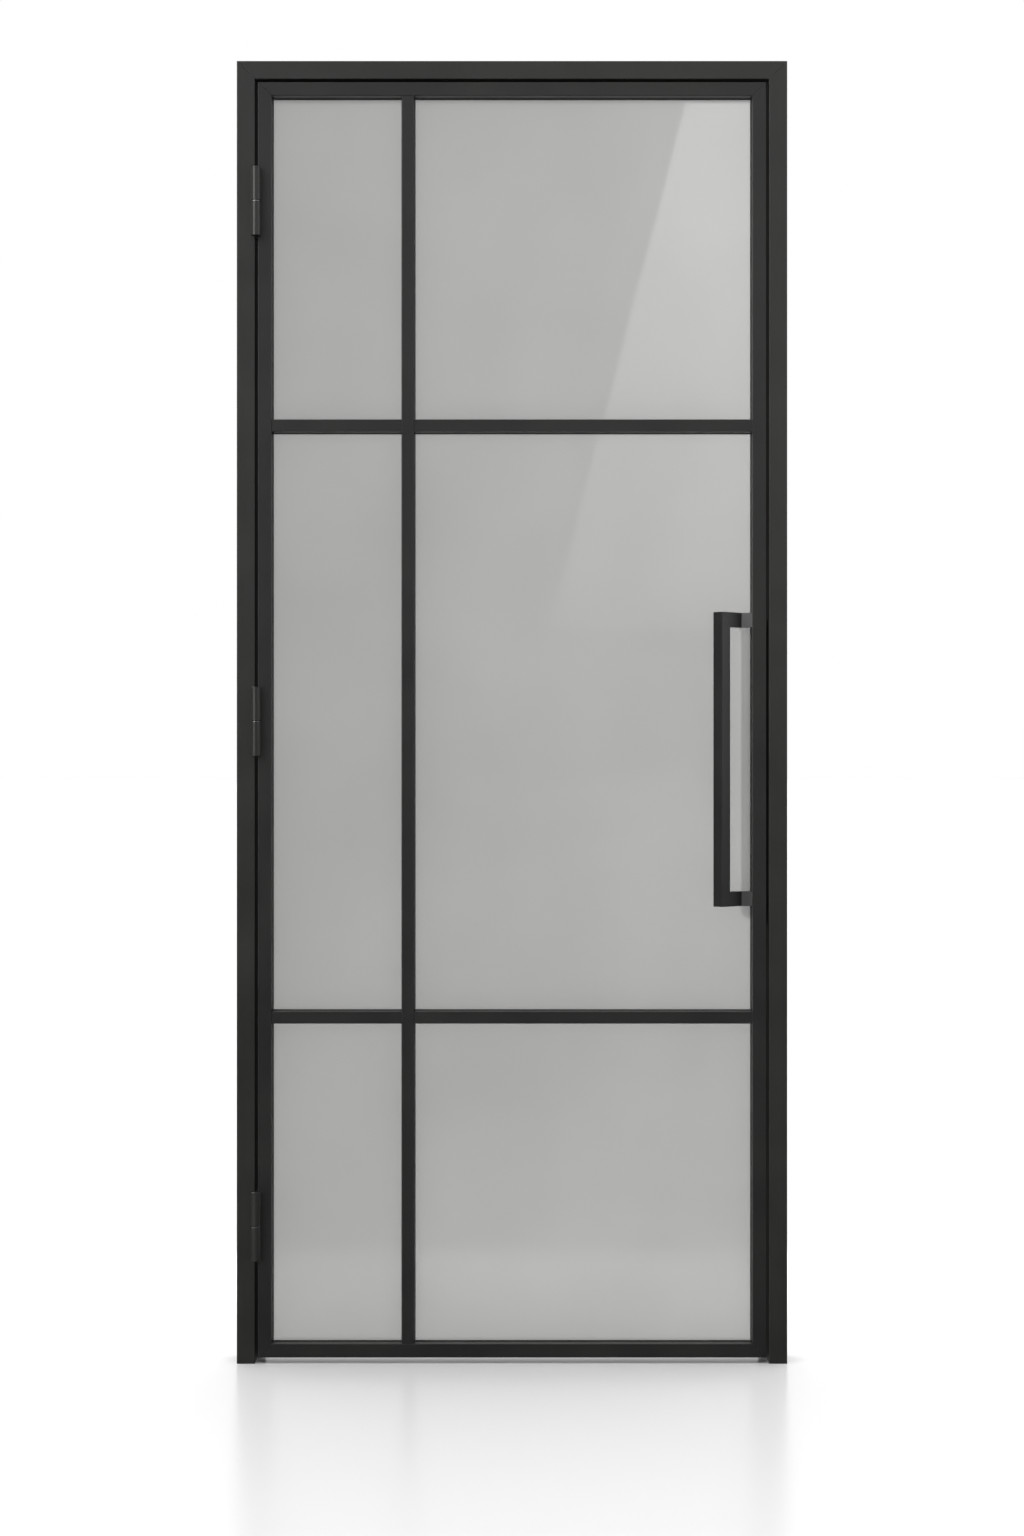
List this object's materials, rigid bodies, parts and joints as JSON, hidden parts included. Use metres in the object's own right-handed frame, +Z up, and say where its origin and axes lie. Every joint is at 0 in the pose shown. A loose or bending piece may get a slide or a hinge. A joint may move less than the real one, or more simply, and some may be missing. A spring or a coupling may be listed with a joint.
{
  "type": "glass door",
  "caption": "Hinged glazed door leaf in a slim black frame, with glazing bars, barrel hinges and an offset square pull handle.",
  "frame": {"origin": "on the floor, in the middle of the width and of the whole depth, hinges and handle included", "axes": "+Z up, +Y from the front of the door to its back, +X from the hinge side to the latch side"},
  "size_m": [0.9, 0.0975, 2.13],
  "materials": {
    "coated_aluminium": "satin",
    "coated_steel": "satin",
    "glass": "gloss",
    "rubber": "matte",
    "bare_steel": "satin",
    "bare_aluminium": "satin"
  },
  "bodies": {
    "frame": {"frame_head": "coated_aluminium", "frame_jamb_hinge_side": "coated_aluminium", "frame_jamb_latch_side": "coated_aluminium", "frame_corner_cleats": "bare_aluminium", "seal_head": "rubber", "seal_hinge_side": "rubber", "seal_latch_side": "rubber", "hinge_bottom_frame_knuckle": "coated_steel", "hinge_bottom_pin": "bare_steel", "hinge_bottom_washer": "bare_steel", "hinge_middle_frame_knuckle": "coated_steel", "hinge_middle_pin": "bare_steel", "hinge_middle_washer": "bare_steel", "hinge_top_frame_knuckle": "coated_steel", "hinge_top_pin": "bare_steel", "hinge_top_washer": "bare_steel", "hinge_frame_screws": "bare_steel", "catch_strike": "bare_steel", "catch_strike_screws": "bare_steel"},
    "leaf": {"hinge_bottom_leaf_knuckle": "coated_steel", "hinge_middle_leaf_knuckle": "coated_steel", "hinge_top_leaf_knuckle": "coated_steel", "hinge_leaf_screws": "bare_steel", "leaf_top_rail": "coated_aluminium", "leaf_bottom_rail": "coated_aluminium", "leaf_hinge_stile": "coated_aluminium", "leaf_latch_stile": "coated_aluminium", "leaf_corner_cleats": "bare_aluminium", "upright_bar": "coated_aluminium", "crossbar_upper_left": "coated_aluminium", "crossbar_upper_right": "coated_aluminium", "crossbar_lower_left": "coated_aluminium", "crossbar_lower_right": "coated_aluminium", "pane_bottom_left": "glass", "pane_bottom_right": "glass", "pane_middle_left": "glass", "pane_middle_right": "glass", "pane_top_left": "glass", "pane_top_right": "glass", "gaskets_front": "rubber", "gaskets_back": "rubber", "beads_bottom_left": "coated_aluminium", "beads_bottom_right": "coated_aluminium", "beads_middle_left": "coated_aluminium", "beads_middle_right": "coated_aluminium", "beads_top_left": "coated_aluminium", "beads_top_right": "coated_aluminium", "setting_blocks": "rubber", "handle_grip": "coated_steel", "handle_arm_upper": "coated_steel", "handle_arm_lower": "coated_steel", "handle_screws": "bare_steel", "catch_magnet": "bare_steel", "catch_magnet_screws": "bare_steel"}
  },
  "joints": [
    {"name": "door_swing", "type": "hinge", "parent": "frame", "child": "leaf", "pos_m": [-0.418, -0.03175, 1.05], "axis": [0, 0, -1], "range_deg": [0, 170]}
  ]
}
